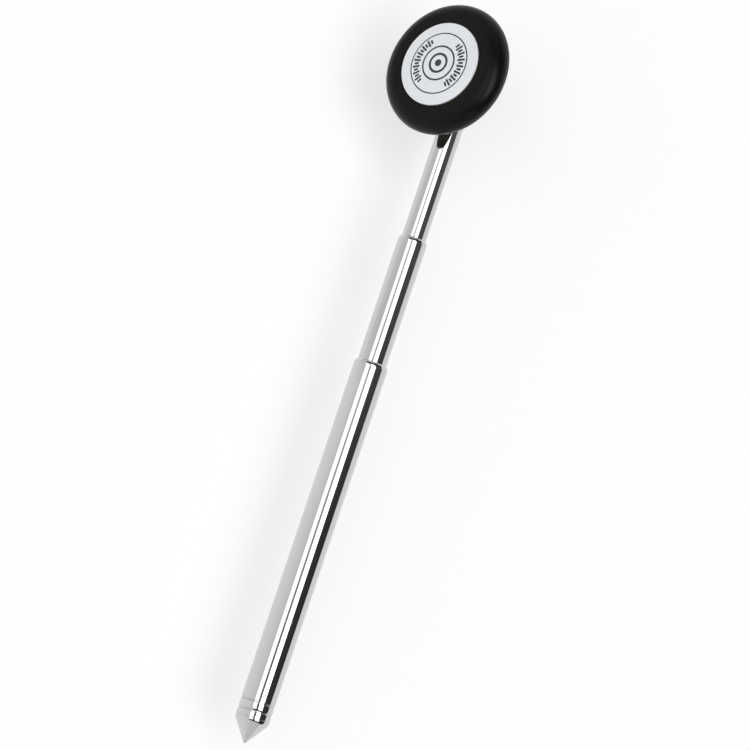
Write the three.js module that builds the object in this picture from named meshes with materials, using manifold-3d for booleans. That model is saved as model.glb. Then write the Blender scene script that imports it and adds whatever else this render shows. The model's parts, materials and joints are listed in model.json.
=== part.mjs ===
// Babinski reflex hammer with a telescoping handle and a tilting disc head.
// Millimetres. The hammer lies along Y on a flat surface, pointed tip towards -Y, leaning on the
// rim of its rubber ring. The origin is on that surface, below the middle of its length and width.
import * as THREE from "three";
import { mergeVertices } from "three/addons/utils/BufferGeometryUtils.js";
import Module from "manifold-3d";

const wasm = await Module();
wasm.setup();

// ---- driving dimensions -------------------------------------------------------------------

// Stations along the handle, measured from the pointed tip
const OUTER_MOUTH = 127.9;
const MIDDLE_MOUTH = 170.8;
const HEAD_CENTRE = 225.3;

// Tubes: outside radii, one wall for all, and the clearances between them
const OUTER_RADIUS = 5.6;
const MIDDLE_RADIUS = 4.8;
const INNER_RADIUS = 4.0;
const TUBE_WALL = 0.5;
const RUNNING_GAP = 0.08;
const MIDDLE_TUBE_LENGTH = 96.5;
const INNER_TUBE_LENGTH = 79.5;

// Head: a rubber ring stretched over the groove of a turned disc
const HEAD_RADIUS = 22;
const HEAD_HALF_THICKNESS = 5.05;
const RIM_REACH = 5.2;
const HEAD_OFFSET = 12;
const BADGE_RADIUS = 14.2;
const BADGE_TOP = 4.95;
const BADGE_THICKNESS = 0.55;
const BADGE_RISE = 0.8;
const HUB_FACE = 4.1;
const GROOVE_RADIUS = 11.5;
const GROOVE_HALF_WIDTH = 2.6;
const LIP_RADIUS = 14.4;
const RUBBER_GAP = 0.2;
const COUNTERBORE_RADIUS = 5.2;
const COUNTERBORE_FLOOR = 0.9;

// Hinge behind the head: its pin lies across the handle, on the handle's axis
const PIN_RADIUS = 1.2;
const PIN_HOLE_RADIUS = 1.3;
const FORK_RADIUS = 4.4;
const FORK_FLAT = 3.9;
const SLOT_HALF_WIDTH = 2.1;
const SLOT_FLOOR = 3.4;
const TONGUE_HALF_WIDTH = 1.4;
const EYE_RADIUS = 3.2;
const FOOT_RADIUS = 5.2;
const FOOT_BOTTOM = 6.6;
const STUD_RADIUS = 2.0;
const STUD_HOLE_RADIUS = 2.15;
const FORK_SEAT = 8.6;
const SPIGOT_LENGTH = 8.9;

// Stop bush and friction spring at the lower end of each sliding tube
const BUSH_PLUG = 6;
const BUSH_NECK = 8;
const BUSH_FLANGE = 2;
const SPRING_END_GAP = 0.3;
const SPRING_SLIT_DEG = 24;

// Pointed cap: where its lower band, its groove, its upper band and its neck start
const LOWER_BAND = 7.7;
const CAP_GROOVE = 10.05;
const UPPER_BAND = 10.85;
const CAP_NECK = 12.8;
const CAP_LENGTH = 13.4;
const CAP_SPIGOT_END = 22;
const TUBE_START = 13.6;

// How far the hammer rolls about its handle before the ring's rim meets the surface
const REST_ROLL = THREE.MathUtils.degToRad(36.9);

// Facets round a full turn
const COARSE = 24;
const FINE = 40;
const RING_FACETS = 60;

const LENGTH = HEAD_CENTRE + HEAD_RADIUS;
const FULL_TURN = 2 * Math.PI;
const QUARTER_TURN = Math.PI / 2;

// ---- materials ----------------------------------------------------------------------------

const finish = (color, roughness, metalness) =>
  new THREE.MeshStandardMaterial({ color, roughness, metalness });
const CHROME = { color: "#d9dbdd", roughness: 0.08, metalness: 1 };
const BRASS = { color: "#c9a552", roughness: 0.3, metalness: 1 };
const BRONZE = { color: "#b9814a", roughness: 0.35, metalness: 1 };
const STEEL = { color: "#b9babb", roughness: 0.35, metalness: 1 };
const RUBBER = { color: "#1c1b18", roughness: 0.55, metalness: 0 };
const BADGE_WHITE = { color: "#e9ebee", roughness: 0.3, metalness: 0 };
const ADHESIVE = { color: "#d8d4c8", roughness: 0.8, metalness: 0 };
const NYLON = { color: "#e4dfd0", roughness: 0.5, metalness: 0 };

function part(name, geometry, look) {
  const material = finish(look.color, look.roughness, look.metalness);
  const mesh = new THREE.Mesh(geometry, material);
  mesh.name = name;
  return mesh;
}

// ---- shapes -------------------------------------------------------------------------------

// A turned piece from [radius, station] points, revolved about Y. The points run up the
// outside; they start and end on the axis, or the last one repeats the first.
function turned(points, facets = FINE) {
  return new THREE.LatheGeometry(
    points.map(([radius, station]) => new THREE.Vector2(radius, station)),
    facets,
  );
}

// The same, with the turning axis along Z or along X
const turnedAboutZ = (points, facets) => turned(points, facets).rotateX(QUARTER_TURN);
const turnedAboutX = (points, facets) => turned(points, facets).rotateZ(-QUARTER_TURN);

// Points along an arc of an ellipse, angles in degrees from the radial direction
function arc(centreRadius, centreStation, radialAxis, axialAxis, startDeg, endDeg, steps) {
  const points = [];
  for (let i = 0; i <= steps; i++) {
    const angle = THREE.MathUtils.degToRad(startDeg + ((endDeg - startDeg) * i) / steps);
    points.push([
      centreRadius + radialAxis * Math.cos(angle),
      centreStation + axialAxis * Math.sin(angle),
    ]);
  }
  return points;
}

// A plain washer or sleeve section between two radii and two stations
const washer = (inner, outer, low, high) => [
  [inner, low],
  [outer, low],
  [outer, high],
  [inner, high],
  [inner, low],
];

// A split ring: one radial slit, length along Z from 0
function splitRing(inner, outer, length, slitDeg) {
  const half = THREE.MathUtils.degToRad(slitDeg / 2);
  const shape = new THREE.Shape();
  shape.absarc(0, 0, outer, half, FULL_TURN - half, false);
  shape.absarc(0, 0, inner, FULL_TURN - half, half, true);
  shape.closePath();
  return new THREE.ExtrudeGeometry(shape, {
    depth: length,
    bevelEnabled: false,
    curveSegments: COARSE,
  });
}

// A hexagonal prism, length along Z from 0
function hexPrism(acrossFlats, length, holeRadius) {
  const corner = acrossFlats / Math.sqrt(3);
  const shape = new THREE.Shape();
  for (let i = 0; i < 6; i++) {
    const angle = (i * FULL_TURN) / 6;
    shape[i ? "lineTo" : "moveTo"](corner * Math.cos(angle), corner * Math.sin(angle));
  }
  shape.closePath();
  const hole = new THREE.Path();
  hole.absarc(0, 0, holeRadius, 0, FULL_TURN, true);
  shape.holes.push(hole);
  return new THREE.ExtrudeGeometry(shape, {
    depth: length,
    bevelEnabled: false,
    curveSegments: 12,
  });
}

// A box from its two corners
function block([x0, y0, z0], [x1, y1, z1]) {
  const box = new THREE.BoxGeometry(x1 - x0, y1 - y0, z1 - z0);
  return box.translate((x0 + x1) / 2, (y0 + y1) / 2, (z0 + z1) / 2);
}

// A round rod across the handle, from x0 to x1, at a place along it
function crossRod(radius, x0, x1, y = 0, facets = COARSE) {
  const rod = new THREE.CylinderGeometry(radius, radius, x1 - x0, facets);
  return rod.rotateZ(-QUARTER_TURN).translate((x0 + x1) / 2, y, 0);
}

// ---- booleans -----------------------------------------------------------------------------

function solid(geometry) {
  const bare = new THREE.BufferGeometry();
  bare.setAttribute("position", geometry.getAttribute("position"));
  bare.setIndex(geometry.index);
  const merged = mergeVertices(bare, 1e-4);
  return new wasm.Manifold(
    new wasm.Mesh({
      numProp: 3,
      vertProperties: merged.attributes.position.array,
      triVerts: new Uint32Array(merged.index.array),
    }),
  );
}

function surface(manifold) {
  const mesh = manifold.getMesh();
  const positions = new Float32Array(mesh.numVert * 3);
  for (let i = 0; i < mesh.numVert; i++) {
    const first = i * mesh.numProp;
    positions.set(mesh.vertProperties.subarray(first, first + 3), i * 3);
  }
  const geometry = new THREE.BufferGeometry();
  geometry.setAttribute("position", new THREE.BufferAttribute(positions, 3));
  geometry.setIndex(new THREE.BufferAttribute(new Uint32Array(mesh.triVerts), 1));
  geometry.computeVertexNormals();
  return geometry;
}

function cut(body, ...tools) {
  return surface(tools.reduce((left, tool) => left.subtract(solid(tool)), solid(body)));
}

// ---- handle tubes -------------------------------------------------------------------------

// A drawn tube whose upper end is rolled inwards into a round lip. The lip stops the next
// tube's bush and guides that tube.
function lippedTube(radius, nextRadius, start, mouth) {
  const bore = radius - TUBE_WALL;
  const lipBore = nextRadius + RUNNING_GAP;
  const rollRadial = radius - lipBore - 0.1;
  const rollAxial = 1.1;
  return turned([
    [bore, start],
    [radius - 0.12, start],
    [radius, start + 0.12],
    ...arc(radius - rollRadial, mouth - rollAxial, rollRadial, rollAxial, 0, 90, 5),
    [lipBore, mouth - 0.1],
    [lipBore, mouth - 0.7],
    [bore, mouth - 1.2],
    [bore, start],
  ]);
}

// The turned plug in the lower end of a sliding tube. Its neck carries the friction spring
// and its flange holds the spring on.
function stopBush(tubeRadius, outsideBore, tubeStart) {
  const plug = tubeRadius - TUBE_WALL - RUNNING_GAP;
  const neck = plug - 0.15;
  const flange = outsideBore - RUNNING_GAP;
  return turned(
    [
      [0, tubeStart - BUSH_NECK - BUSH_FLANGE],
      [flange - 0.3, tubeStart - BUSH_NECK - BUSH_FLANGE],
      [flange, tubeStart - BUSH_NECK - BUSH_FLANGE + 0.3],
      [flange, tubeStart - BUSH_NECK],
      [neck, tubeStart - BUSH_NECK],
      [neck, tubeStart - 0.1],
      [plug, tubeStart - 0.1],
      [plug, tubeStart + BUSH_PLUG - 0.3],
      [plug - 0.3, tubeStart + BUSH_PLUG],
      [0, tubeStart + BUSH_PLUG],
    ],
    COARSE,
  );
}

// The split bronze sleeve that presses on the bore outside it and holds the tube where it
// is pulled to.
function frictionSpring(tubeRadius, outsideBore, tubeStart) {
  const inner = tubeRadius - TUBE_WALL - RUNNING_GAP;
  const outer = outsideBore - 0.05;
  const length = BUSH_NECK - 2 * SPRING_END_GAP;
  return splitRing(inner, outer, length, SPRING_SLIT_DEG)
    .rotateX(-QUARTER_TURN)
    .translate(0, tubeStart - BUSH_NECK + SPRING_END_GAP, 0);
}

// The solid pointed end: a cone, a rounded shoulder, two bands with a groove between them,
// and a spigot pressed into the outer tube. The second groove is the joint with the tube.
function tipCap() {
  const point = 0.5;
  const shoulder = 1.0;
  const shoulderCentre = OUTER_RADIUS - shoulder;
  const rise = LOWER_BAND - point;
  const centreLine = Math.hypot(shoulderCentre, rise);
  const coneHalfAngle =
    Math.atan2(shoulderCentre, rise) + Math.asin((shoulder - point) / centreLine);
  const coneDeg = THREE.MathUtils.radToDeg(coneHalfAngle);
  const spigot = OUTER_RADIUS - TUBE_WALL - RUNNING_GAP;
  const floor = OUTER_RADIUS - 0.25;
  const edge = 0.2;
  return turned([
    ...arc(0, point, point, point, -90, -coneDeg, 3),
    ...arc(shoulderCentre, LOWER_BAND, shoulder, shoulder, -coneDeg, 0, 3),
    [OUTER_RADIUS, CAP_GROOVE - edge],
    [OUTER_RADIUS - edge, CAP_GROOVE],
    [floor, CAP_GROOVE + edge],
    [floor, UPPER_BAND - edge],
    [OUTER_RADIUS - edge, UPPER_BAND],
    [OUTER_RADIUS, UPPER_BAND + edge],
    [OUTER_RADIUS, CAP_NECK - edge],
    [OUTER_RADIUS - edge, CAP_NECK],
    [floor, CAP_NECK + edge],
    [floor, CAP_LENGTH],
    [spigot, CAP_LENGTH],
    [spigot, CAP_SPIGOT_END - 0.5],
    [spigot - 0.5, CAP_SPIGOT_END],
    [0, CAP_SPIGOT_END],
  ]);
}

function handle() {
  const group = new THREE.Group();
  const tube = lippedTube(OUTER_RADIUS, MIDDLE_RADIUS, TUBE_START, OUTER_MOUTH);
  group.add(part("outer_tube", tube, CHROME));
  group.add(part("tip_cap", tipCap(), CHROME));
  return group;
}

function middleSection() {
  const group = new THREE.Group();
  const start = MIDDLE_MOUTH - MIDDLE_TUBE_LENGTH;
  const outsideBore = OUTER_RADIUS - TUBE_WALL;
  const tube = lippedTube(MIDDLE_RADIUS, INNER_RADIUS, start, MIDDLE_MOUTH);
  const bush = stopBush(MIDDLE_RADIUS, outsideBore, start);
  const spring = frictionSpring(MIDDLE_RADIUS, outsideBore, start);
  group.add(part("middle_tube", tube, CHROME));
  group.add(part("middle_stop_bush", bush, BRASS));
  group.add(part("middle_friction_spring", spring, BRONZE));
  return group;
}

function innerSection() {
  const group = new THREE.Group();
  const mouth = HEAD_CENTRE - FORK_SEAT;
  const start = mouth - INNER_TUBE_LENGTH;
  const bore = INNER_RADIUS - TUBE_WALL;
  const outsideBore = MIDDLE_RADIUS - TUBE_WALL;
  const rivetStation = mouth - 4.4;
  const rivetHole = crossRod(0.88, -INNER_RADIUS - 1, INNER_RADIUS + 1, rivetStation, 16);
  const tube = cut(turned(washer(bore, INNER_RADIUS, start, mouth)), rivetHole);
  const bush = stopBush(INNER_RADIUS, outsideBore, start);
  const spring = frictionSpring(INNER_RADIUS, outsideBore, start);
  const rivet = crossRod(0.8, 0.05 - INNER_RADIUS, INNER_RADIUS - 0.05, rivetStation, 16);
  group.add(part("inner_tube", tube, CHROME));
  group.add(part("inner_stop_bush", bush, BRASS));
  group.add(part("inner_friction_spring", spring, BRONZE));
  group.add(part("fork_rivet", rivet, CHROME));
  group.add(part("fork", fork(rivetHole), CHROME));
  return group;
}

// ---- hinge --------------------------------------------------------------------------------

// The fork: a spigot and collar on the inner tube, then two cheeks joined by a floor and a
// back web. The floor stops the head parallel to the handle, the web stops it square.
function fork(rivetHole) {
  const spigot = INNER_RADIUS - TUBE_WALL - RUNNING_GAP;
  const seat = -FORK_SEAT + 0.05;
  const collar = 4.6;
  const collarTop = seat + 2;
  const bar = turned([
    [0, -FORK_SEAT - SPIGOT_LENGTH],
    [spigot - 0.3, -FORK_SEAT - SPIGOT_LENGTH],
    [spigot, -FORK_SEAT - SPIGOT_LENGTH + 0.3],
    [spigot, seat],
    [collar - 0.2, seat],
    [collar, seat + 0.3],
    [collar, collarTop - 0.3],
    [collar - 0.3, collarTop],
    [FORK_RADIUS, collarTop],
    [FORK_RADIUS, FORK_RADIUS],
    [0, FORK_RADIUS],
  ]);
  const reach = FORK_RADIUS + 2;
  const roundEnd = solid(crossRod(FORK_RADIUS, -reach, reach)).add(
    solid(block([-reach, -FORK_SEAT - SPIGOT_LENGTH - 1, -reach], [reach, 0, reach])),
  );
  const shaped = surface(solid(bar).intersect(roundEnd)).translate(0, HEAD_CENTRE, 0);
  const flats = [-1, 1].map((side) =>
    block([-1, collarTop, -reach], [1, reach, reach])
      .translate(side * (FORK_FLAT + 1), HEAD_CENTRE, 0),
  );
  const slot = block(
    [-SLOT_HALF_WIDTH, -SLOT_FLOOR, -SLOT_FLOOR],
    [SLOT_HALF_WIDTH, reach, reach],
  ).translate(0, HEAD_CENTRE, 0);
  const pinHole = crossRod(PIN_HOLE_RADIUS, -reach, reach, HEAD_CENTRE);
  return cut(shaped, slot, pinHole, rivetHole, ...flats);
}

// The lug behind the head: a flat tongue with an eye for the pin, a round foot, and the
// threaded stud that goes through the hub.
function headLug() {
  const studEnd = HEAD_OFFSET + HUB_FACE - 0.3;
  const footTop = HEAD_OFFSET - HUB_FACE - 0.05;
  const foot = turnedAboutZ(
    [
      [0, FOOT_BOTTOM],
      [FOOT_RADIUS - 0.3, FOOT_BOTTOM],
      [FOOT_RADIUS, FOOT_BOTTOM + 0.3],
      [FOOT_RADIUS, footTop],
      [STUD_RADIUS, footTop],
      [STUD_RADIUS, studEnd - 0.4],
      [STUD_RADIUS - 0.4, studEnd],
      [0, studEnd],
    ],
    COARSE,
  );
  const eye = crossRod(EYE_RADIUS, -TONGUE_HALF_WIDTH, TONGUE_HALF_WIDTH);
  const stem = block(
    [-TONGUE_HALF_WIDTH, -EYE_RADIUS, 0],
    [TONGUE_HALF_WIDTH, EYE_RADIUS, FOOT_BOTTOM + 0.3],
  );
  const blank = surface(solid(foot).add(solid(eye)).add(solid(stem)));
  return cut(blank, crossRod(PIN_HOLE_RADIUS, -2, 2)).translate(0, HEAD_CENTRE, 0);
}

function hingePin() {
  const group = new THREE.Group();
  group.position.y = HEAD_CENTRE;
  const washerBore = PIN_RADIUS + 0.15;
  const springTop = FORK_FLAT + 0.55;
  const headBottom = springTop + 0.1;
  const headTop = headBottom + 1.3;
  const screw = turnedAboutX(
    [
      [0, -FORK_FLAT - 1.9],
      [PIN_RADIUS, -FORK_FLAT - 1.9],
      [PIN_RADIUS, headBottom],
      [2.6, headBottom],
      ...arc(2.1, headTop - 0.5, 0.5, 0.5, 0, 90, 3),
      [0, headTop],
    ],
    COARSE,
  );
  const driverSlot = block([headTop - 0.6, -3, -0.35], [headTop + 1, 3, 0.35]);
  group.add(part("hinge_screw", cut(screw, driverSlot), CHROME));

  const spring = turnedAboutX(
    [
      [washerBore, FORK_FLAT + 0.25],
      [2.5, FORK_FLAT + 0.05],
      [2.5, FORK_FLAT + 0.35],
      [washerBore, springTop],
      [washerBore, FORK_FLAT + 0.25],
    ],
    COARSE,
  );
  group.add(part("hinge_spring_washer", spring, STEEL));

  for (const [side, name] of [[-1, "left"], [1, "right"]]) {
    const ring = turnedAboutX(washer(washerBore, 3.1, -0.25, 0.25), COARSE);
    const middle = (TONGUE_HALF_WIDTH + SLOT_HALF_WIDTH) / 2;
    ring.translate(side * middle, 0, 0);
    group.add(part("friction_washer_" + name, ring, NYLON));
  }

  const nutFace = -FORK_FLAT - 0.05;
  const hex = hexPrism(4.6, 1.5, PIN_RADIUS + 0.06).rotateY(-QUARTER_TURN);
  hex.translate(nutFace, 0, 0);
  const dome = turnedAboutX(
    [
      [0, nutFace - 2.7],
      ...arc(0, nutFace - 1.4, 2.1, 1.3, -90, 0, 4).slice(1),
      [0, nutFace - 1.4],
    ],
    COARSE,
  );
  const threadHole = crossRod(PIN_RADIUS + 0.06, nutFace - 2.05, nutFace + 1);
  const nut = cut(surface(solid(hex).add(solid(dome))), threadHole);
  group.add(part("hinge_nut", nut, CHROME));
  return group;
}

// ---- head ---------------------------------------------------------------------------------

// Striking ring: full round rim, flat side lands, and a rib that sits in the hub's groove
function rubberRing() {
  const ribHalfWidth = GROOVE_HALF_WIDTH - RUBBER_GAP;
  const ribRadius = GROOVE_RADIUS + RUBBER_GAP;
  const lipRound = 0.3;
  const rimCentre = HEAD_RADIUS - RIM_REACH;
  const edge = HEAD_HALF_THICKNESS - lipRound;
  return turnedAboutZ(
    [
      [ribRadius, -ribHalfWidth],
      [LIP_RADIUS, -ribHalfWidth],
      ...arc(LIP_RADIUS + lipRound, -edge, lipRound, lipRound, 180, 270, 2),
      ...arc(rimCentre, 0, RIM_REACH, HEAD_HALF_THICKNESS, -90, 90, 12),
      ...arc(LIP_RADIUS + lipRound, edge, lipRound, lipRound, 90, 180, 2),
      [LIP_RADIUS, ribHalfWidth],
      [ribRadius, ribHalfWidth],
      [ribRadius, -ribHalfWidth],
    ],
    RING_FACETS,
  );
}

// Turned disc that gives the head its weight. The nut that holds the lug sits in its
// counterbore, under the badge.
function hubDisc() {
  return turnedAboutZ(
    [
      [STUD_HOLE_RADIUS, -HUB_FACE],
      [BADGE_RADIUS, -HUB_FACE],
      [BADGE_RADIUS, -GROOVE_HALF_WIDTH],
      [GROOVE_RADIUS, -GROOVE_HALF_WIDTH],
      [GROOVE_RADIUS, GROOVE_HALF_WIDTH],
      [BADGE_RADIUS, GROOVE_HALF_WIDTH],
      [BADGE_RADIUS, HUB_FACE],
      [COUNTERBORE_RADIUS, HUB_FACE],
      [COUNTERBORE_RADIUS, COUNTERBORE_FLOOR],
      [STUD_HOLE_RADIUS, COUNTERBORE_FLOOR],
      [STUD_HOLE_RADIUS, -HUB_FACE],
    ],
    RING_FACETS,
  );
}

// A printed disc under a low dome of clear resin.
function badgeDisc() {
  const bottom = BADGE_TOP - BADGE_THICKNESS;
  const edge = BADGE_RADIUS - 0.2;
  const dome = [0, 1, 2, 3, 4, 5].map((ring) => {
    const radius = edge * (1 - ring / 6);
    return [radius, BADGE_TOP + BADGE_RISE * (1 - (radius / edge) ** 2)];
  });
  return turnedAboutZ([
    [0, bottom],
    [BADGE_RADIUS, bottom],
    [BADGE_RADIUS, BADGE_TOP - 0.2],
    ...dome,
    [0, BADGE_TOP + BADGE_RISE],
  ]);
}

function adhesivePad() {
  const top = BADGE_TOP - BADGE_THICKNESS - 0.05;
  const bottom = HUB_FACE + 0.05;
  return turnedAboutZ(washer(COUNTERBORE_RADIUS + 0.5, BADGE_RADIUS - 0.7, bottom, top));
}

function head() {
  const group = new THREE.Group();
  const disc = new THREE.Group();
  disc.position.set(0, HEAD_CENTRE, HEAD_OFFSET);
  disc.add(part("rubber_ring", rubberRing(), RUBBER));
  disc.add(part("hub_disc", hubDisc(), CHROME));
  disc.add(part("badge", badgeDisc(), BADGE_WHITE));
  disc.add(part("badge_adhesive", adhesivePad(), ADHESIVE));

  const washerThickness = 0.6;
  const washerBottom = COUNTERBORE_FLOOR + 0.05;
  const lockWasher = splitRing(STUD_RADIUS + 0.15, 3.7, washerThickness, 14);
  lockWasher.translate(0, 0, washerBottom);
  disc.add(part("lug_lock_washer", lockWasher, STEEL));

  const nut = hexPrism(7, 2.1, STUD_RADIUS + 0.1);
  nut.translate(0, 0, washerBottom + washerThickness + 0.05);
  disc.add(part("lug_nut", nut, STEEL));

  group.add(disc);
  group.add(part("head_lug", headLug(), CHROME));
  return group;
}

// ---- assembly -----------------------------------------------------------------------------

// Inside the group, Y runs up the handle's axis from the tip and Z points out of the badge.
const hammer = new THREE.Group();
hammer.position.set(HEAD_OFFSET * Math.sin(REST_ROLL), -LENGTH / 2, OUTER_RADIUS);
hammer.rotation.y = -REST_ROLL;
hammer.add(handle(), middleSection(), innerSection(), hingePin(), head());

export default hammer;
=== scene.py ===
import json
import math

import bmesh
import bpy
from mathutils import Matrix, Vector


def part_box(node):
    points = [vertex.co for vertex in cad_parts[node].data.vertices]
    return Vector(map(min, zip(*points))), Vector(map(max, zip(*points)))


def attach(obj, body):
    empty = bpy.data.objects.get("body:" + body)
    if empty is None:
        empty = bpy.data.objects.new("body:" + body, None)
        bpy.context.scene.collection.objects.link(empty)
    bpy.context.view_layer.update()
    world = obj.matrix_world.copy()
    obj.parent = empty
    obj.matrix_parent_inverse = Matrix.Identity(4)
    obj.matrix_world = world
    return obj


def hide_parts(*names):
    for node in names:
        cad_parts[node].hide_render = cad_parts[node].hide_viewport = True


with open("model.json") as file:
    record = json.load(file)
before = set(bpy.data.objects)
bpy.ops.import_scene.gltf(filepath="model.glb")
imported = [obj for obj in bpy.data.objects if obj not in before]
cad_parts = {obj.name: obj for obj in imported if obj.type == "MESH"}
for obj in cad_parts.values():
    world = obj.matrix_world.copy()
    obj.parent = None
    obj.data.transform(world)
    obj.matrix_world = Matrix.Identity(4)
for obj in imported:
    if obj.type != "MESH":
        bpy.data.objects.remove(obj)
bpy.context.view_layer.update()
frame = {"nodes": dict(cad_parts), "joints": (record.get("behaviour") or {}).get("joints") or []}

# A Babinski reflex hammer: chromed telescoping handle, black rubber ring, white badge.
# Shapes are drawn in millimetres and stored in metres, each in the frame of its own axis.


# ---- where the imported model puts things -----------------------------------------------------

MM = 0.001


def measured(node):
    """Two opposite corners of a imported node's box, in millimetres."""
    low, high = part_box(node)
    return low / MM, high / MM


outer_low, outer_high = measured("outer_tube")
tilt = next(joint for joint in frame["joints"] if joint["name"] == "head_tilt")

TIP = measured("tip_cap")[0].y
AXIS_X = (outer_low.x + outer_high.x) / 2
AXIS_Z = (outer_low.z + outer_high.z) / 2
ACROSS = -Vector(tilt["axis"]).normalized()
ALONG = Vector((0, 1, 0))
OUT = ACROSS.cross(ALONG).normalized()

# Stations along the handle, from the pointed tip
OUTER_START = outer_low.y - TIP
OUTER_BASE = OUTER_START - 0.03
OUTER_MOUTH = outer_high.y - TIP
MIDDLE_START, MIDDLE_MOUTH = (corner.y - TIP for corner in measured("middle_tube"))
INNER_START, INNER_END = (corner.y - TIP for corner in measured("inner_tube"))
HEAD_CENTRE = tilt["pos_m"][1] / MM - TIP

# Radii and distances that the drawing of the hammer gives
OUTER_RADIUS = (outer_high.x - outer_low.x) / 2
MIDDLE_RADIUS = 4.8
INNER_RADIUS = 4.0
TUBE_WALL = 0.5
RUNNING_GAP = 0.08
HEAD_OFFSET = 12.0
RING_RADIUS = 22.2
HEAD_HALF = 5.05
RIM_REACH = 5.2
BADGE_RADIUS = 14.2
BADGE_TOP = 4.95
BADGE_RISE = 0.8


def placed(*moves):
    """The hammer's own frame (X across, Y up the handle, Z out of the badge), moved on."""
    axes = Matrix((ACROSS, ALONG, OUT)).transposed().to_4x4()
    base = Matrix.Translation(Vector((AXIS_X, TIP, AXIS_Z)) * MM) @ axes
    for move in moves:
        base = base @ move
    return base


def shift(x, y, z):
    """A move in millimetres."""
    return Matrix.Translation(Vector((x, y, z)) * MM)


# Each frame's Z is the axis that its pieces are turned about.
HANDLE = placed(Matrix.Rotation(math.radians(-90), 4, "X"))
HINGE = placed(shift(0, HEAD_CENTRE, 0))
PIN = placed(shift(0, HEAD_CENTRE, 0), Matrix.Rotation(math.radians(90), 4, "Y"))
DISC = placed(shift(0, HEAD_CENTRE, HEAD_OFFSET))


# ---- colours and nodes ----------------------------------------------------------------------


def paint(hexcode):
    """An sRGB hex value as the linear colour that the shaders want."""
    parts = [int(hexcode[i : i + 2], 16) / 255 for i in (1, 3, 5)]
    linear = [p / 12.92 if p <= 0.04045 else ((p + 0.055) / 1.055) ** 2.4 for p in parts]
    return (*linear, 1.0)


def per_metre(millimetres):
    """The scale that makes one feature of a pattern this wide."""
    return 1000 / millimetres


def wire(tree, node, inputs):
    """Fills a node's inputs: a socket, or a node's first output, is linked. Values are set."""
    for name, value in inputs.items():
        if isinstance(value, bpy.types.Node):
            value = value.outputs[0]
        if isinstance(value, bpy.types.NodeSocket):
            tree.links.new(value, node.inputs[name])
        else:
            node.inputs[name].default_value = value


def add(tree, kind, inputs=None, stops=None, **settings):
    """Adds a node, with its settings, its inputs and the stops of a ramp."""
    made = tree.nodes.new("ShaderNode" + kind)
    for name, value in settings.items():
        setattr(made, name, value)
    wire(tree, made, inputs or {})
    if stops:
        elements = made.color_ramp.elements
        while len(elements) < len(stops):
            elements.new(1.0)
        for element, (place, level) in zip(elements, stops):
            element.position = place
            element.color = (level, level, level, 1)
    return made


def new_material(name, base, metallic, roughness, **more):
    """A Principled surface with its even values on the shader's own sockets."""
    material = bpy.data.materials.new(name)
    material.use_nodes = True
    shader = material.node_tree.nodes["Principled BSDF"]
    shader.inputs["Base Color"].default_value = paint(base)
    shader.inputs["Metallic"].default_value = metallic
    shader.inputs["Roughness"].default_value = roughness
    for socket, value in more.items():
        shader.inputs[socket.replace("_", " ")].default_value = value
    material.diffuse_color = paint(base)
    return material, material.node_tree, shader


# ---- materials ------------------------------------------------------------------------------

CHROME_TINT = "#cacaca"
OWN_PLACE = "own_place"


def chrome_on_drawn_tube():
    """Bright chrome plate over brass tube that was drawn through a die.

    A mirror with a cool grey body. The die leaves hairlines along the tube, so the edges of
    what it mirrors are a little streaky, and handling leaves faint duller patches.
    """
    material, tree, shader = new_material("chrome_on_drawn_tube", CHROME_TINT, 1.0, 0.05)
    own = add(tree, "Attribute", attribute_name=OWN_PLACE).outputs["Vector"]
    stretched = add(
        tree,
        "Mapping",
        {"Vector": own, "Scale": (per_metre(0.35), per_metre(0.35), per_metre(45))},
    )
    hairlines = add(tree, "TexNoise", {"Vector": stretched, "Scale": 1.0, "Detail": 3.0})
    patches = add(tree, "TexNoise", {"Vector": own, "Scale": per_metre(7), "Detail": 2.0})
    dulled = add(
        tree,
        "MapRange",
        {"Value": patches, 1: 0.45, 2: 0.75, 3: 0.035, 4: 0.085},
        interpolation_type="SMOOTHSTEP",
    )
    wire(tree, shader, {"Roughness": dulled})
    relief = add(
        tree,
        "Bump",
        {"Strength": 0.5, "Distance": 0.0012 * MM, "Height": hairlines},
    )
    wire(tree, shader, {"Normal": relief})
    return material


def chrome_on_turned_brass():
    """Bright chrome plate over brass that was turned in a lathe and buffed.

    The same mirror as the tubes, with fine rings left by the tool. They go round the axis
    that the piece was turned about, so highlights break into thin bands across it. The real
    rings are finer. These are 0.09 mm wide, so that a close view shows them.
    """
    material, tree, shader = new_material("chrome_on_turned_brass", CHROME_TINT, 1.0, 0.06)
    own = add(tree, "Attribute", attribute_name=OWN_PLACE).outputs["Vector"]
    x, y, z = add(tree, "SeparateXYZ", {0: own}).outputs
    across = add(tree, "Math", {0: x, 1: x}, operation="MULTIPLY")
    squared = add(tree, "Math", {0: y, 1: y, 2: across}, operation="MULTIPLY_ADD")
    radius = add(tree, "Math", {0: squared}, operation="SQRT")
    rings_at = add(tree, "CombineXYZ", {0: radius, 1: z})
    rings = add(
        tree, "TexNoise", {"Vector": rings_at, "Scale": per_metre(0.09), "Detail": 1.0}
    )
    patches = add(tree, "TexNoise", {"Vector": own, "Scale": per_metre(3), "Detail": 2.0})
    dulled = add(
        tree,
        "MapRange",
        {"Value": patches, 1: 0.4, 2: 0.75, 3: 0.04, 4: 0.1},
        interpolation_type="SMOOTHSTEP",
    )
    wire(tree, shader, {"Roughness": dulled})
    relief = add(
        tree, "Bump", {"Strength": 0.4, "Distance": 0.0008 * MM, "Height": rings}
    )
    wire(tree, shader, {"Normal": relief})
    return material


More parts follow.
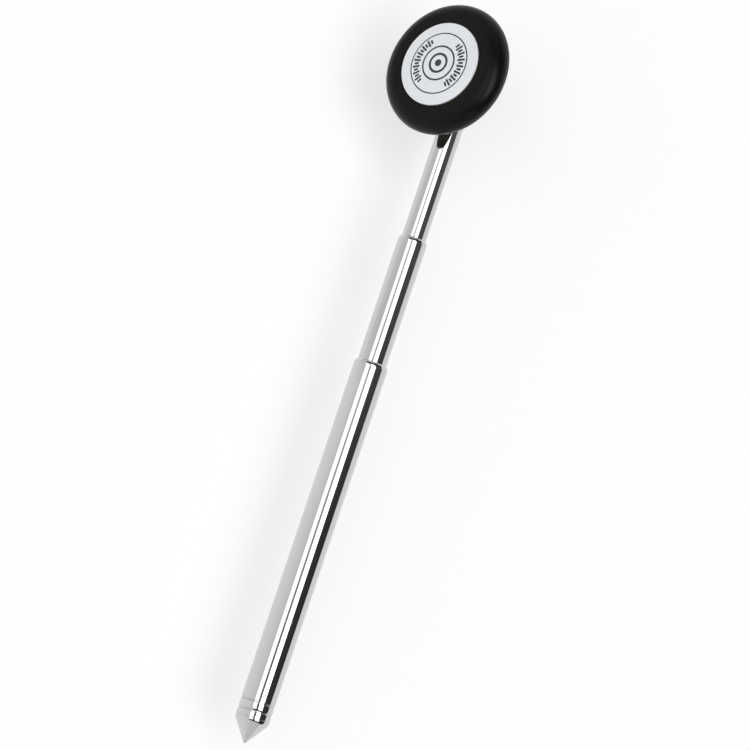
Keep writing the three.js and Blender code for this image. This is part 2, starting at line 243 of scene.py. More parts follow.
def moulded_rubber():
    """Black natural rubber, pressed in a polished steel mould.

    Nearly black with a soft satin sheen. The skin has a faint pebble from the mould, a
    greyer bloom in soft clouds, and stray specks of lint that rubber always picks up. The
    back is painted greyer: painted light for the light that falls on its underside.
    """
    material, tree, shader = new_material(
        "moulded_black_rubber", "#0a0907", 0.0, 0.33, IOR=1.52, Specular_IOR_Level=0.12
    )
    own = add(tree, "Attribute", attribute_name=OWN_PLACE).outputs["Vector"]
    clouds = add(tree, "TexNoise", {"Vector": own, "Scale": per_metre(9), "Detail": 3.0})
    bloom = add(
        tree,
        "MapRange",
        {"Value": clouds, 1: 0.4, 2: 0.7, 3: 0.0, 4: 0.5},
        interpolation_type="SMOOTHSTEP",
    )
    skin = add(
        tree,
        "Mix",
        {0: bloom, 6: paint("#0a0907"), 7: paint("#100f0b")},
        data_type="RGBA",
    )
    # Painted light: the back is painted greyer, fading out towards the rim, to stand in for the
    # light on the ring's underside that the chrome mirrors.
    _, _, height = add(tree, "SeparateXYZ", {0: own}).outputs
    painted_back_light = add(tree, "MapRange", {"Value": height, 1: -4.6 * MM, 2: -2.0 * MM, 3: 1.0, 4: 0.0})
    skin_with_painted_back_light = add(
        tree,
        "Mix",
        {0: painted_back_light, 6: skin.outputs[2], 7: paint("#373530")},
        data_type="RGBA",
    )
    lint = add(tree, "TexVoronoi", {"Vector": own, "Scale": per_metre(3.2)})
    speck = add(
        tree,
        "MapRange",
        {"Value": lint.outputs["Distance"], 1: 0.028, 2: 0.05, 3: 0.35, 4: 0.0},
    )
    speckled = add(
        tree,
        "Mix",
        {0: speck, 6: skin_with_painted_back_light.outputs[2], 7: paint("#6f6c66")},
        data_type="RGBA",
    )
    wire(tree, shader, {"Base Color": speckled.outputs[2]})
    dulled = add(tree, "MapRange", {"Value": clouds, 1: 0.3, 2: 0.75, 3: 0.28, 4: 0.37})
    wire(tree, shader, {"Roughness": dulled})
    pebble = add(tree, "TexNoise", {"Vector": own, "Scale": per_metre(0.5), "Detail": 2.0})
    relief = add(tree, "Bump", {"Strength": 0.5, "Distance": 0.012 * MM, "Height": pebble})
    wire(tree, shader, {"Normal": relief})
    return material


def printed_badge():
    """White disc printed in black, under a low dome of clear resin.

    Cool white and even, with a soft gloss over it. The print is thin rings, a plain eyelet
    in the middle and two arcs of graduation ticks.
    """
    material, tree, shader = new_material(
        "printed_disc_under_resin",
        "#dddfe2",
        0.0,
        0.35,
        IOR=1.5,
        Coat_Weight=0.25,
        Coat_Roughness=0.12,
    )
    own = add(tree, "Attribute", attribute_name=OWN_PLACE).outputs["Vector"]
    x, y, _ = add(tree, "SeparateXYZ", {0: own}).outputs
    across = add(tree, "Math", {0: x, 1: x}, operation="MULTIPLY")
    squared = add(tree, "Math", {0: y, 1: y, 2: across}, operation="MULTIPLY_ADD")
    radius = add(tree, "Math", {0: squared}, operation="SQRT")
    angle = add(tree, "Math", {0: y, 1: x}, operation="ARCTAN2")

    # The rings, with the middle radius and half the line's width of each
    prints = [
        add(tree, "Math", {0: radius, 1: middle * MM, 2: half * MM}, operation="COMPARE")
        for middle, half in ((10.37, 0.22), (5.78, 0.3), (3.1, 0.42), (0.0, 1.2))
    ]

    # Ticks every 7.5 degrees on the left and the right, every second one shorter
    pitch = math.radians(15)
    arc = math.radians(56.25)
    tick_half = 0.36 * MM
    upright = add(tree, "Math", {0: angle}, operation="ABSOLUTE")
    folded = add(tree, "Math", {0: upright, 1: math.pi / 2}, operation="PINGPONG")
    sides = add(tree, "Math", {0: folded, 1: 0.0, 2: arc}, operation="COMPARE")
    for start, low, high in ((0.0, 7.1, 9.7), (pitch / 2, 7.6, 9.2)):
        middle, half = (low + high) / 2 * MM, (high - low) / 2 * MM
        past = add(tree, "Math", {0: folded, 1: start}, operation="SUBTRACT")
        nearest = add(tree, "Math", {0: past, 1: pitch / 2}, operation="PINGPONG")
        aside = add(tree, "Math", {0: nearest, 1: radius}, operation="MULTIPLY")
        line = add(tree, "Math", {0: aside, 1: 0.0, 2: tick_half}, operation="COMPARE")
        kept = add(tree, "Math", {0: line, 1: sides}, operation="MULTIPLY")
        ends = add(tree, "Math", {0: radius, 1: middle, 2: half}, operation="COMPARE")
        prints.append(add(tree, "Math", {0: kept, 1: ends}, operation="MULTIPLY"))
    inked = prints[0]
    for mark in prints[1:]:
        inked = add(tree, "Math", {0: inked, 1: mark}, operation="MAXIMUM")

    clouds = add(tree, "TexNoise", {"Vector": own, "Scale": per_metre(8), "Detail": 2.0})
    white = add(
        tree,
        "Mix",
        {0: clouds, 6: paint("#dbdde0"), 7: paint("#e0e2e5")},
        data_type="RGBA",
    )
    printed = add(
        tree, "Mix", {0: inked, 6: white.outputs[2], 7: paint("#23272a")}, data_type="RGBA"
    )
    peel = add(tree, "TexNoise", {"Vector": own, "Scale": per_metre(0.8), "Detail": 1.0})
    relief = add(tree, "Bump", {"Strength": 0.3, "Distance": 0.004 * MM, "Height": peel})
    wire(tree, shader, {"Base Color": printed.outputs[2], "Normal": relief})
    return material


def worked_metal(name, base, tarnish, roughness, grain):
    """Bare or zinc-plated metal with a rubbed surface.

    Soft metallic gloss. Its colour drifts towards the tarnish in patches of a few
    millimetres, and a fine grain of tool marks scatters the highlight.
    """
    material, tree, shader = new_material(name, base, 1.0, roughness)
    own = add(tree, "TexCoord").outputs["Object"]
    patches = add(tree, "TexNoise", {"Vector": own, "Scale": per_metre(2.5), "Detail": 3.0})
    tone = add(
        tree,
        "Mix",
        {0: patches, 6: paint(base), 7: paint(tarnish)},
        data_type="RGBA",
    )
    wire(tree, shader, {"Base Color": tone.outputs[2]})
    marks = add(tree, "TexNoise", {"Vector": own, "Scale": per_metre(grain), "Detail": 2.0})
    rubbed = add(
        tree,
        "MapRange",
        {"Value": marks, 1: 0.3, 2: 0.7, 3: roughness - 0.08, 4: roughness + 0.08},
    )
    wire(tree, shader, {"Roughness": rubbed})
    relief = add(tree, "Bump", {"Strength": 0.4, "Distance": 0.004 * MM, "Height": marks})
    wire(tree, shader, {"Normal": relief})
    return material


def soft_sheet(name, base, shade, roughness, grain, depth):
    """Punched or cut sheet of a soft plastic.

    Matt and even, slightly mottled, with a fine pitted skin.
    """
    material, tree, shader = new_material(name, base, 0.0, roughness, IOR=1.5)
    own = add(tree, "TexCoord").outputs["Object"]
    pits = add(tree, "TexNoise", {"Vector": own, "Scale": per_metre(grain), "Detail": 3.0})
    tone = add(
        tree,
        "Mix",
        {0: pits, 6: paint(base), 7: paint(shade)},
        data_type="RGBA",
    )
    wire(tree, shader, {"Base Color": tone.outputs[2]})
    relief = add(tree, "Bump", {"Strength": 0.6, "Distance": depth * MM, "Height": pits})
    wire(tree, shader, {"Normal": relief})
    return material


FINISHES = {
    "chrome_tube": chrome_on_drawn_tube(),
    "chrome_turned": chrome_on_turned_brass(),
    "black_rubber": moulded_rubber(),
    "badge_enamel": printed_badge(),
    # Turned brass: warm yellow with brown tarnish
    "brass_bush": worked_metal("turned_brass", "#c9a552", "#8f6f33", 0.3, 0.2),
    # Rolled phosphor bronze strip: redder than brass
    "bronze_spring": worked_metal("rolled_phosphor_bronze", "#b9814a", "#8a5a34", 0.34, 0.25),
    # Zinc-plated steel: bluish grey, a little cloudy
    "steel_fastener": worked_metal("zinc_plated_steel", "#b6b9bc", "#9a9fa3", 0.33, 0.3),
    # Punched nylon: milky white
    "nylon_washer": soft_sheet("punched_nylon", "#e4dfd0", "#d6d0be", 0.45, 0.3, 0.004),
    # Double-sided foam tape: open pores
    "foam_tape": soft_sheet("foam_tape", "#d8d4c8", "#bcb7a8", 0.85, 0.25, 0.03),
}


# ---- shapes ---------------------------------------------------------------------------------


def filleted(corners, steps=6):
    """A profile of (radius, height, fillet) corners with its corners rounded.

    A point on each side of every fillet keeps the flats between them flat when shaded.
    """
    points = []
    for i, (radius, height, fillet) in enumerate(corners):
        here = Vector((radius, height))
        if not fillet:
            points.append(here)
            continue
        ends = Vector(corners[i - 1][:2]), Vector(corners[(i + 1) % len(corners)][:2])
        back, on = ((end - here).normalized() for end in ends)
        half = back.angle(on) / 2
        reach = fillet / math.tan(half)
        centre = here + (back + on).normalized() * fillet / math.sin(half)
        start = here + back * reach - centre
        turn = math.copysign(math.pi - 2 * half, back.x * on.y - back.y * on.x)
        hold = [min(reach * 1.3, (end - here).length * 0.49) for end in ends]
        points.append(here + back * hold[0])
        for step in range(steps + 1):
            angle = -turn * step / steps
            cos, sin = math.cos(angle), math.sin(angle)
            arm = Vector((start.x * cos - start.y * sin, start.x * sin + start.y * cos))
            points.append(centre + arm)
        points.append(here + on * hold[1])
    return [(point.x, point.y) for point in points]


def sweep(centre, radii, start, end, steps):
    """Points along part of an ellipse, angles in degrees from the radial direction."""
    angles = [math.radians(start + (end - start) * i / steps) for i in range(steps + 1)]
    return [
        (centre[0] + radii[0] * math.cos(a), centre[1] + radii[1] * math.sin(a)) for a in angles
    ]


def turned(profile, facets, closed=False):
    """A body turned about Z from (radius, height) points. Points on the axis close it."""
    body = bmesh.new()
    rows = []
    for radius, height in profile:
        if radius < 1e-6:
            rows.append([body.verts.new((0, 0, height * MM))] * facets)
            continue
        row = []
        for k in range(facets):
            angle = 2 * math.pi * k / facets
            place = (radius * math.cos(angle) * MM, radius * math.sin(angle) * MM, height * MM)
            row.append(body.verts.new(place))
        rows.append(row)
    pairs = list(zip(rows, rows[1:])) + ([(rows[-1], rows[0])] if closed else [])
    for low, high in pairs:
        for k in range(facets):
            after = (k + 1) % facets
            around = [low[k], low[after], high[after], high[k]]
            body.faces.new(list(dict.fromkeys(around)))
    bmesh.ops.recalc_face_normals(body, faces=body.faces)
    return body


def extruded(outline, low, high):
    """A body with a flat (x, y) outline, between two heights."""
    body = bmesh.new()
    bottom = [body.verts.new((x * MM, y * MM, low * MM)) for x, y in outline]
    top = [body.verts.new((x * MM, y * MM, high * MM)) for x, y in outline]
    body.faces.new(bottom)
    body.faces.new(top)
    for k in range(len(outline)):
        after = (k + 1) % len(outline)
        body.faces.new((bottom[k], bottom[after], top[after], top[k]))
    bmesh.ops.recalc_face_normals(body, faces=body.faces)
    return body


def block(low, high):
    """A box between two opposite corners."""
    return extruded(
        [(low[0], low[1]), (high[0], low[1]), (high[0], high[1]), (low[0], high[1])],
        low[2],
        high[2],
    )


def rod(radius, low, high, facets=96):
    """A plain round bar along Z."""
    return turned([(0, low), (radius, low), (radius, high), (0, high)], facets)


def spun(body, degrees, axis):
    """The same body, turned about its frame's X or Y."""
    bmesh.ops.transform(
        body, matrix=Matrix.Rotation(math.radians(degrees), 4, axis), verts=body.verts
    )
    return body


def moved(body, x, y, z):
    bmesh.ops.translate(body, vec=Vector((x, y, z)) * MM, verts=body.verts)
    return body


def as_object(name, body):
    mesh = bpy.data.meshes.new(name)
    body.to_mesh(mesh)
    body.free()
    made = bpy.data.objects.new(name, mesh)
    bpy.context.scene.collection.objects.link(made)
    return made


def settled(piece):
    """Applies the piece's modifiers to its mesh."""
    graph = bpy.context.evaluated_depsgraph_get()
    finished = bpy.data.meshes.new_from_object(piece.evaluated_get(graph))
    piece.modifiers.clear()
    piece.data = finished
    return piece


def joined(name, body, *steps):
    """Booleans on a body: each step is an operation and the other body."""
    made = as_object(name, body)
    for operation, other in steps:
        tool = as_object(name + "_tool", other)
        boolean = made.modifiers.new("boolean", "BOOLEAN")
        boolean.operation = operation
        boolean.solver = "MANIFOLD"
        boolean.object = tool
        settled(made)
        bpy.data.objects.remove(tool)
    return made


def rounded(piece, width):
    """Meant to break the piece's edges, as deburring and buffing do.

    The cuts leave short edges, and the overlap clamp then shrinks the width to next to
    nothing, so the cut edges stay sharp.
    """
    bevel = piece.modifiers.new("bevel", "BEVEL")
    bevel.width = width * MM
    bevel.segments = 3
    bevel.limit_method = "ANGLE"
    bevel.angle_limit = math.radians(28)
    bevel.harden_normals = True
    bevel.use_clamp_overlap = True
    for polygon in piece.data.polygons:
        polygon.use_smooth = True
    return settled(piece)


def keep_place(mesh):
    """Stores each point's place in the piece's own frame, which its patterns follow."""
    own = mesh.attributes.new(OWN_PLACE, "FLOAT_VECTOR", "POINT")
    flat = [part for vertex in mesh.vertices for part in vertex.co]
    own.data.foreach_set("vector", flat)


def assemble(piece, place, body, slot, node):
    """Puts a finished piece in its frame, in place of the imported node."""
    piece.name = piece.data.name = node + "_visual"
    if "sharp_face" not in piece.data.attributes or not piece.data.has_custom_normals:
        piece.data.shade_smooth()
        piece.data.set_sharp_from_angle(angle=math.radians(32))
    keep_place(piece.data)
    piece.data.transform(place)
    piece.data.materials.clear()
    piece.data.materials.append(FINISHES[slot])
    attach(piece, body)
    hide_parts(node)


# ---- handle ---------------------------------------------------------------------------------


def lipped_tube(radius, next_radius, start, mouth):
    """A drawn tube whose upper end is rolled inwards to a round lip."""
    bore = radius - TUBE_WALL
    lip_bore = next_radius + RUNNING_GAP
    roll_radial = radius - lip_bore - 0.1
    roll_axial = 1.5
    low = filleted(
        [(bore, start + 4, 0), (bore, start, 0.05), (radius, start, 0.12), (radius, start + 4, 0)]
    )
    roll_centre = (radius - roll_radial, mouth - roll_axial)
    rolled = sweep(roll_centre, (roll_radial, roll_axial), 0, 90, 18)
    inner = filleted(
        [
            (radius - roll_radial, mouth, 0),
            (lip_bore, mouth, 0.09),
            (lip_bore, mouth - 0.7, 0.1),
            (bore, mouth - 1.2, 0.1),
            (bore, mouth - 4, 0),
        ]
    )
    straight = [(radius, mouth - roll_axial - 0.1)]
    return turned(low[1:] + straight + rolled + inner[1:], facets=160, closed=True)


def hollow(radius, middle, half, depth):
    """A round-bottomed groove in a profile of this radius."""
    points = [(radius, middle - half - 0.05)]
    for i in range(9):
        way = i / 4 - 1
        points.append((radius - depth * (1 - way * way), middle + half * way))
    return points + [(radius, middle + half + 0.05)]


def pointed_cap():
    """Turned solid end: point, cone, round shoulder, two bands and the pressed spigot.

    A scribed line parts the shoulder from the bands, and a fine groove parts the bands.
    """
    point, shoulder = 0.5, 2.2
    scribe, groove, neck, top = 8.09, 10.4, 13.1, 22
    bevel, eased = 2.2, 25
    centre = OUTER_RADIUS - shoulder
    rise = scribe - point
    line = math.hypot(centre, rise)
    cone = math.degrees(math.atan2(centre, rise) + math.asin((shoulder - point) / line))
    floor = OUTER_RADIUS - 0.2
    spigot = OUTER_RADIUS - TUBE_WALL - RUNNING_GAP
    profile = sweep((0, point), (point, point), -90, -cone, 8)
    profile += sweep((centre, scribe), (shoulder, shoulder), -cone, 0, 18)
    profile += hollow(OUTER_RADIUS, scribe + 0.18, 0.13, 0.09)
    profile += hollow(OUTER_RADIUS, groove, 0.25, 0.2)[:-2]
    # The upper band falls away towards the groove.
    start = groove + 0.2 + bevel * math.sin(math.radians(eased))
    profile += sweep((OUTER_RADIUS - bevel, start), (bevel, bevel), -eased, 0, 14)
    profile += filleted(
        [
            (OUTER_RADIUS, start + 0.4, 0),
            (OUTER_RADIUS, neck, 0.12),
            (floor, neck + 0.14, 0.05),
            (floor, OUTER_BASE, 0.05),
            (spigot, OUTER_BASE, 0.05),
            (spigot, top, 0.4),
            (0, top, 0),
        ]
    )[1:]
    return turned(profile, facets=160)


outer = lipped_tube(OUTER_RADIUS, MIDDLE_RADIUS, OUTER_START, OUTER_MOUTH)
assemble(as_object("outer_tube", outer), HANDLE, "handle", "chrome_tube", "outer_tube")
middle = lipped_tube(MIDDLE_RADIUS, INNER_RADIUS, MIDDLE_START, MIDDLE_MOUTH)
assemble(as_object("middle_tube", middle), HANDLE, "middle_section", "chrome_tube", "middle_tube")
assemble(as_object("tip_cap", pointed_cap()), HANDLE, "handle", "chrome_turned", "tip_cap")

# The inner tube, with the cross hole of its rivet
RIVET_STATION = INNER_END - 4.4
RIVET_RADIUS = 0.8
RIVET_HOLE = 0.88
bore = INNER_RADIUS - TUBE_WALL
inner_profile = filleted(
    [
        (bore, INNER_START, 0.05),
        (INNER_RADIUS, INNER_START, 0.12),
        (INNER_RADIUS, INNER_END, 0.08),
        (bore, INNER_END, 0.05),
    ]
)
rivet_hole = moved(spun(rod(RIVET_HOLE, -6, 6, 48), 90, "Y"), 0, 0, RIVET_STATION)
inner = joined("inner_tube", turned(inner_profile, 160, closed=True), ("DIFFERENCE", rivet_hole))
assemble(inner, HANDLE, "inner_section", "chrome_tube", "inner_tube")
rivet_half = INNER_RADIUS - 0.05
rivet = turned(
    filleted(
        [
            (0, -rivet_half, 0),
            (RIVET_RADIUS, -rivet_half + 0.06, 0.1),
            (RIVET_RADIUS, rivet_half - 0.06, 0.1),
            (0, rivet_half, 0),
        ]
    ),
    48,
)
RIVET = PIN @ shift(0, RIVET_STATION - HEAD_CENTRE, 0)
assemble(as_object("fork_rivet", rivet), RIVET, "inner_section", "chrome_turned", "fork_rivet")


# ---- hinge ----------------------------------------------------------------------------------

PIN_RADIUS = 1.2
PIN_HOLE = 1.3
FORK_RADIUS = 4.4
FORK_FLAT = 3.9


def fork():
    """Spigot and collar on the inner tube, two cheeks, a floor and a back web."""
    spigot, collar = INNER_RADIUS - TUBE_WALL - RUNNING_GAP, 4.6
    seat = INNER_END - HEAD_CENTRE + 0.05
    collar_top, spigot_end = seat + 2, seat - 8.95
    bar_end = FORK_RADIUS + 1
    slot_half, slot_floor = 2.1, -3.4
    clear = 7
    bar = turned(
        filleted(
            [
                (0, spigot_end, 0),
                (spigot, spigot_end, 0.3),
                (spigot, seat, 0),
                (collar, seat, 0.3),
                (collar, collar_top, 0.15),
                (FORK_RADIUS, collar_top, 0),
                (FORK_RADIUS, bar_end, 0),
                (0, bar_end, 0),
            ]
        ),
        128,
    )
    # The end is round, seen from the side. The outline widens downwards, clear of the collar.
    far = 1.2 * FORK_RADIUS
    end = [(-height, y) for height, y in sweep((0, 0), (FORK_RADIUS,) * 2, 0, 180, 64)]
    bullet = extruded([(-far, -20), *end, (far, -20)], -clear, clear)
    steps = [("INTERSECT", spun(bullet, 90, "Y"))]
    for side in (-1, 1):
        low, high = sorted((side * FORK_FLAT, side * clear))
        flat = block((low, collar_top + 0.2, -clear), (high, clear, clear))
        steps.append(("DIFFERENCE", flat))
    slot = block((-slot_half, slot_floor, slot_floor), (slot_half, clear, clear))
    steps.append(("DIFFERENCE", slot))
    steps.append(("DIFFERENCE", spun(rod(PIN_HOLE, -clear, clear), 90, "Y")))
    hole = spun(rod(RIVET_HOLE, -clear, clear, 48), 90, "Y")
    steps.append(("DIFFERENCE", moved(hole, 0, RIVET_STATION - HEAD_CENTRE, 0)))
    return joined("fork", spun(bar, -90, "X"), *steps)


def head_lug():
    """Tongue with the pin's eye, round foot, and the stud that goes through the hub."""
    foot_low, foot_top, foot_radius = 6.6, HEAD_OFFSET - 4.15, 5.2
    stud_end, stud_radius = HEAD_OFFSET + 3.8, 2.0
    eye_radius, tongue_half = 3.2, 1.4
    foot = turned(
        filleted(
            [
                (0, foot_low, 0),
                (foot_radius, foot_low, 0.35),
                (foot_radius, foot_top, 0.1),
                (stud_radius, foot_top, 0),
                (stud_radius, stud_end, 0.4),
                (0, stud_end, 0),
            ]
        ),
        96,
    )
    eye = sweep((0, 0), (eye_radius, eye_radius), 180, 360, 64)
    tongue_top = foot_low + 0.3
    tongue = extruded(
        [(-eye_radius, tongue_top), *eye, (eye_radius, tongue_top)], -tongue_half, tongue_half
    )
    # The outline was drawn flat: its X becomes Y, its Y becomes Z.
    stood_up = Matrix(((0, 0, 1, 0), (1, 0, 0, 0), (0, 1, 0, 0), (0, 0, 0, 1)))
    bmesh.ops.transform(tongue, matrix=stood_up, verts=tongue.verts)
    return joined(
        "head_lug",
        foot,
        ("UNION", tongue),
        ("DIFFERENCE", spun(rod(PIN_HOLE, -3, 3), 90, "Y")),
    )


def slotted_screw():
    """Shoulder screw with a buffed, slotted cheese head."""
    head_low, head_radius = FORK_FLAT + 0.65, 2.6
    head_top = head_low + 1.3
    pin_end = -FORK_FLAT - 1.9
    slot_half, slot_depth = 0.35, 0.6
    body = turned(
        filleted(
            [
                (0, pin_end, 0),
                (PIN_RADIUS, pin_end, 0.25),
                (PIN_RADIUS, head_low, 0),
                (head_radius, head_low, 0.08),
                (head_radius, head_top, 0.5),
                (0, head_top, 0),
            ]
        ),
        96,
    )
    slot = block((-3, -slot_half, head_top - slot_depth), (3, slot_half, head_top + 1))
    return joined("hinge_screw", body, ("DIFFERENCE", slot))


def domed_nut():
    """Acorn nut: chamfered hexagon with a dome over the screw's end."""
    face = -FORK_FLAT - 0.05
    back = face - 1.5
    across_flats, dome_radius = 4.6, 2.1
    corner = across_flats / math.sqrt(3)
    sides = [math.radians(a) for a in range(0, 360, 60)]
    outline = [(corner * math.cos(a), corner * math.sin(a)) for a in sides]
    chamfers = [
        (0, face),
        (2.35, face),
        (2.75, face - 0.25),
        (2.75, face - 1.2),
        (2.2, back),
        (0, back),
    ]
    dome = [(0, face - 1.0), (dome_radius, face - 1.0)]
    dome += sweep((0, face - 1.4), (dome_radius, 1.3), 0, -90, 20)
    return joined(
        "hinge_nut",
        extruded(outline, back, face),
        ("INTERSECT", turned(chamfers, 96)),
        ("UNION", turned(dome, 96)),
        ("DIFFERENCE", rod(PIN_RADIUS + 0.06, face - 2.05, face + 1, 64)),
    )


def washer(inner, outer, low, high, fillet):
    """A flat ring with rounded edges."""
    corners = [(inner, low), (outer, low), (outer, high), (inner, high)]
    return turned(filleted([(*c, fillet) for c in corners], steps=4), 96, closed=True)


assemble(rounded(fork(), 0.14), HINGE, "inner_section", "chrome_turned", "fork")
assemble(rounded(head_lug(), 0.14), HINGE, "head", "chrome_turned", "head_lug")
assemble(rounded(slotted_screw(), 0.06), PIN, "inner_section", "chrome_turned", "hinge_screw")
assemble(rounded(domed_nut(), 0.05), PIN, "inner_section", "chrome_turned", "hinge_nut")

WASHER_BORE = PIN_RADIUS + 0.15
CONE_RADIUS = 2.5
cone = filleted(
    [
        (WASHER_BORE, FORK_FLAT + 0.25, 0.04),
        (CONE_RADIUS, FORK_FLAT + 0.05, 0.05),
        (CONE_RADIUS, FORK_FLAT + 0.35, 0.05),
        (WASHER_BORE, FORK_FLAT + 0.55, 0.04),
    ]
)
spring_washer = as_object("hinge_spring_washer", turned(cone, 96, closed=True))
assemble(spring_washer, PIN, "inner_section", "steel_fastener", "hinge_spring_washer")
for side, name in ((-1, "friction_washer_left"), (1, "friction_washer_right")):
    middle = side * 1.75
    ring = washer(WASHER_BORE, 3.1, middle - 0.25, middle + 0.25, 0.06)
    assemble(as_object(name, ring), PIN, "inner_section", "nylon_washer", name)


# ---- head -----------------------------------------------------------------------------------


def striking_ring():
    """Moulded ring: full round rim with the mould's parting line, flat lands, inner rib."""
    rib_half, rib_radius, lip, lip_round = 2.4, 11.7, 14.4, 0.3
    edge = HEAD_HALF - lip_round
    rim = RING_RADIUS - RIM_REACH
    lower = filleted(
        [(rib_radius, 0, 0), (rib_radius, -rib_half, 0.15), (lip, -rib_half, 0), (lip, -edge, 0)]
    )
    land = lip + lip_round + 0.2
    seam_reach, seam_half, seam_angle = 0.03, 0.045, 1.2
    profile = lower[1:]
    profile += sweep((lip + lip_round, -edge), (lip_round, lip_round), 180, 270, 6)
    profile.append((land, -HEAD_HALF))
    profile += sweep((rim, 0), (RIM_REACH, HEAD_HALF), -90, -seam_angle, 36)
    profile.append((RING_RADIUS + seam_reach, -seam_half))
    profile.append((RING_RADIUS + seam_reach, seam_half))
    profile += sweep((rim, 0), (RIM_REACH, HEAD_HALF), seam_angle, 90, 36)
    profile.append((land, HEAD_HALF))
    profile += sweep((lip + lip_round, edge), (lip_round, lip_round), 90, 180, 6)
    profile += [(radius, -height) for radius, height in reversed(lower[1:])][1:]
    return turned(profile, facets=224, closed=True)


def hub():
    """Turned disc: groove for the ring's rib, counterbore for the lug's nut."""
    face, groove, half = 4.1, 11.5, 2.6
    stud_hole, counterbore, seat = 2.15, 5.2, 0.9
    corners = [
        (stud_hole, -face, 0.15),
        (BADGE_RADIUS, -face, 0.25),
        (BADGE_RADIUS, -half, 0.08),
        (groove, -half, 0.1),
        (groove, half, 0.1),
        (BADGE_RADIUS, half, 0.08),
        (BADGE_RADIUS, face, 0.1),
        (counterbore, face, 0.1),
        (counterbore, seat, 0.1),
        (stud_hole, seat, 0.1),
    ]
    return turned(filleted(corners), 160, closed=True)


def domed_badge():
    """Printed disc under a low dome of clear resin."""
    bend = 0.2
    edge, low, top = BADGE_RADIUS - bend, BADGE_TOP - 0.55, BADGE_TOP + 0.25
    profile = [(0, low), (BADGE_RADIUS - 0.3, low), (BADGE_RADIUS - 0.05, low)]
    profile.append((BADGE_RADIUS, low + 0.05))
    profile += sweep((edge, top - bend), (bend, bend), 0, 83, 6)
    for i in range(25):
        radius = edge * (1 - i / 24)
        profile.append((radius, top + BADGE_RISE * (1 - (radius / edge) ** 2)))
    return turned(profile, 160)


assemble(as_object("rubber_ring", striking_ring()), DISC, "head", "black_rubber", "rubber_ring")
assemble(as_object("hub_disc", hub()), DISC, "head", "chrome_turned", "hub_disc")
assemble(as_object("badge", domed_badge()), DISC, "head", "badge_enamel", "badge")


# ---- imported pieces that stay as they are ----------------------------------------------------

KEPT = {
    "middle_stop_bush": "brass_bush",
    "inner_stop_bush": "brass_bush",
    "middle_friction_spring": "bronze_spring",
    "inner_friction_spring": "bronze_spring",
    "badge_adhesive": "foam_tape",
    "lug_lock_washer": "steel_fastener",
    "lug_nut": "steel_fastener",
}
for name, slot in KEPT.items():
    kept = frame["nodes"][name]
    kept.data.materials.clear()
    kept.data.materials.append(FINISHES[slot])


# ---- floor, light and camera ----------------------------------------------------------------

# The floor lies just below the lowest place that the turning head can reach.
HEAD_SWING = math.hypot(RING_RADIUS - RIM_REACH, HEAD_OFFSET) + RIM_REACH
FLOOR_Z = (AXIS_Z - HEAD_SWING) * MM
FLOOR_HALF = 12.0

floor_body = bmesh.new()
corners = [(FLOOR_HALF * x, FLOOR_HALF * y) for x, y in ((-1, -1), (1, -1), (1, 1), (-1, 1))]
floor_body.faces.new([floor_body.verts.new((x, y, FLOOR_Z)) for x, y in corners])
floor = as_object("studio_floor", floor_body)
# An even white sheet of opal glass, lit from below, which keeps the shadows faint
opal, _, _ = new_material(
    "opal_light_table",
    "#b4b4b2",
    0.0,
    0.9,
    Specular_IOR_Level=0.0,
    Emission_Color=paint("#ffffff"),
    Emission_Strength=0.53,
)
floor.data.materials.append(opal)


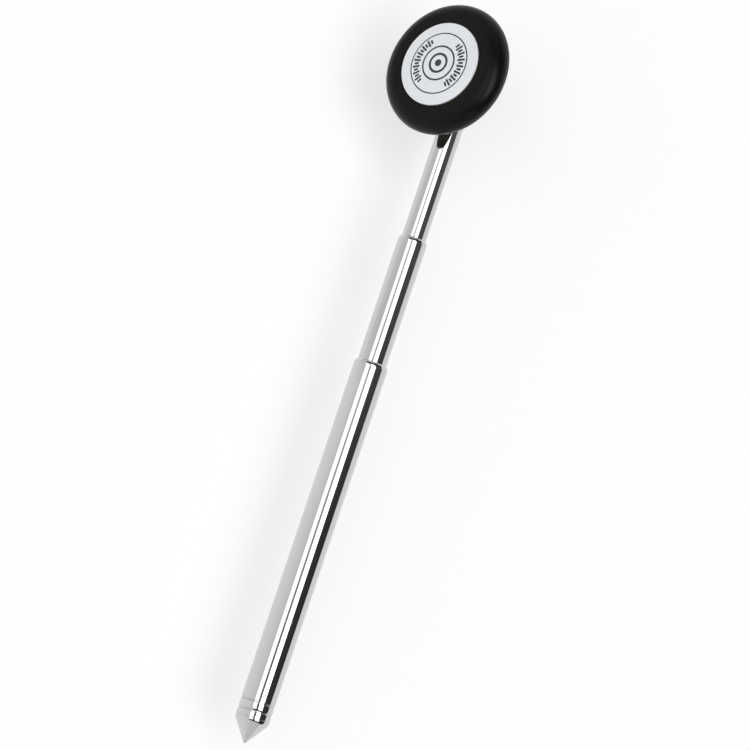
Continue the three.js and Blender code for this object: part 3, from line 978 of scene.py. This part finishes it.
def studio_dome():
    """What the chrome mirrors: strip lights along the handle, with dark room between them.

    The strips' levels go by the angle about the handle's direction, from straight down on
    the left over the top to straight down on the right. The rest goes by how far along the
    handle a direction points: -1 is towards the tip, 1 is towards the head.
    """
    brightest = 5.5
    world = bpy.data.worlds.new("studio_dome")
    bpy.context.scene.world = world
    world.use_nodes = True
    tree = world.node_tree
    tree.nodes.clear()
    way = add(tree, "TexCoord").outputs["Generated"]
    x, y, z = add(tree, "SeparateXYZ", {0: way}).outputs
    about = add(tree, "Math", {0: x, 1: z}, operation="ARCTAN2")
    degrees = add(tree, "Math", {0: about}, operation="DEGREES")
    # The strips stand a little askew to the handle.
    slant = add(tree, "MapRange", {0: y, 1: 0.02, 2: 0.26, 3: 1.8, 4: 21.5})
    skewed = add(tree, "Math", {0: degrees, 1: slant}, operation="ADD")
    place = add(tree, "MapRange", {0: skewed, 1: -180.0, 2: 180.0, 3: 0.0, 4: 1.0})

    def stops(levels, full=1.0):
        return [((angle + 180) / 360, level / full) for angle, level in levels]

    strips_at = [
        (-180, 1.0), (-92, 1.0), (-86, 0.97), (-60, 0.93), (-22, 0.82), (-17, 2.4), (17, 2.4),
        (20, 5.5), (44, 5.5), (47, 0.05), (75, 0.045), (96, 0.035), (99, 1.0), (180, 1.1),
    ]
    strips = add(tree, "ValToRGB", {0: place}, stops=stops(strips_at, brightest))
    # A dark gap between the two overhead strips, fainter towards the head
    gap_at = [(-180, 0), (2.5, 0), (4.5, 1), (18, 1), (20, 0), (180, 0)]
    gap = add(tree, "ValToRGB", {0: place}, stops=stops(gap_at))
    fading = add(tree, "MapRange", {0: y, 1: 0.04, 2: 0.4, 3: 0.95, 4: 0.3})
    shade = add(tree, "Math", {0: gap, 1: fading}, operation="MULTIPLY")
    rest = add(tree, "Math", {0: 1.0, 1: shade}, operation="SUBTRACT")
    lit = add(tree, "Math", {0: strips, 1: rest}, operation="MULTIPLY")

    # Towards the head the strips are a little dimmer and the dark room hazier.
    haze = add(tree, "MapRange", {0: y, 1: 0.11, 2: 0.2, 3: 0.0, 4: 0.011})
    dimmed = add(tree, "MapRange", {0: y, 1: 0.15, 2: 0.17, 3: 1.0, 4: 0.82})
    hazy = add(tree, "Math", {0: lit, 1: dimmed, 2: haze}, operation="MULTIPLY_ADD")

    # Past the ends of the strips the room is dark overhead, then the pale walls begin.
    far = add(tree, "Math", {0: y}, operation="ABSOLUTE")
    ends_at = [(0.0, 0.0), (0.33, 0.0), (0.37, 1.0), (1.0, 1.0)]
    ends = add(tree, "ValToRGB", {0: far}, stops=ends_at)
    overhead_at = [(-180, 0), (-24, 0), (-17, 1), (99, 1), (104, 0), (180, 0)]
    overhead = add(tree, "ValToRGB", {0: place}, stops=stops(overhead_at))
    beyond = add(tree, "Math", {0: ends, 1: overhead}, operation="MULTIPLY")
    walls_at = [(0.0, 0.006), (0.56, 0.008), (0.66, 0.011), (0.72, 0.131), (1.0, 0.147)]
    walls = add(tree, "ValToRGB", {0: far}, stops=walls_at)
    room = add(tree, "Mix", {0: beyond, 2: hazy, 3: walls}, data_type="FLOAT")

    # Towards the head's end two dark doorways stand in the pale wall.
    doorways_at = [
        (-180, 1), (-88, 1), (-84, 0.05), (-52, 0.05), (-48, 1),
        (40, 1), (44, 0.05), (76, 0.05), (80, 1), (180, 1),
    ]
    doorways = add(tree, "ValToRGB", {0: place}, stops=stops(doorways_at))
    headwards = add(tree, "MapRange", {0: y, 1: 0.7, 2: 0.74, 3: 0.0, 4: 1.0})
    openings = add(tree, "Mix", {0: headwards, 2: 1.0, 3: doorways}, data_type="FLOAT")
    level = add(tree, "Math", {0: room, 1: openings}, operation="MULTIPLY")

    mirrored = add(tree, "Background", {"Color": level, "Strength": brightest})
    backdrop = add(tree, "Background", {"Color": paint("#ffffff"), "Strength": 1.0})
    seen = add(tree, "LightPath").outputs["Is Camera Ray"]
    sky = add(tree, "MixShader", {0: seen, 1: mirrored, 2: backdrop})
    add(tree, "OutputWorld", {"Surface": sky})


studio_dome()

# The camera stands a metre above the hammer and looks almost straight down on it.
camera_data = bpy.data.cameras.new("camera")
camera_data.sensor_width = 36.0
camera_data.lens = 159.9
camera = bpy.data.objects.new("camera", camera_data)
right, up, back = (
    Vector((0.94640, 0.31410, 0.06790)),
    Vector((-0.32080, 0.93650, 0.14180)),
    Vector((-0.01980, -0.15610, 0.98740)),
)
camera.matrix_world = (
    Matrix.Translation((-0.0114, -0.1660, 1.0621))
    @ Matrix((right, up, back)).transposed().to_4x4()
)
bpy.context.scene.collection.objects.link(camera)
bpy.context.scene.camera = camera
bpy.context.scene.view_settings.view_transform = "Standard"
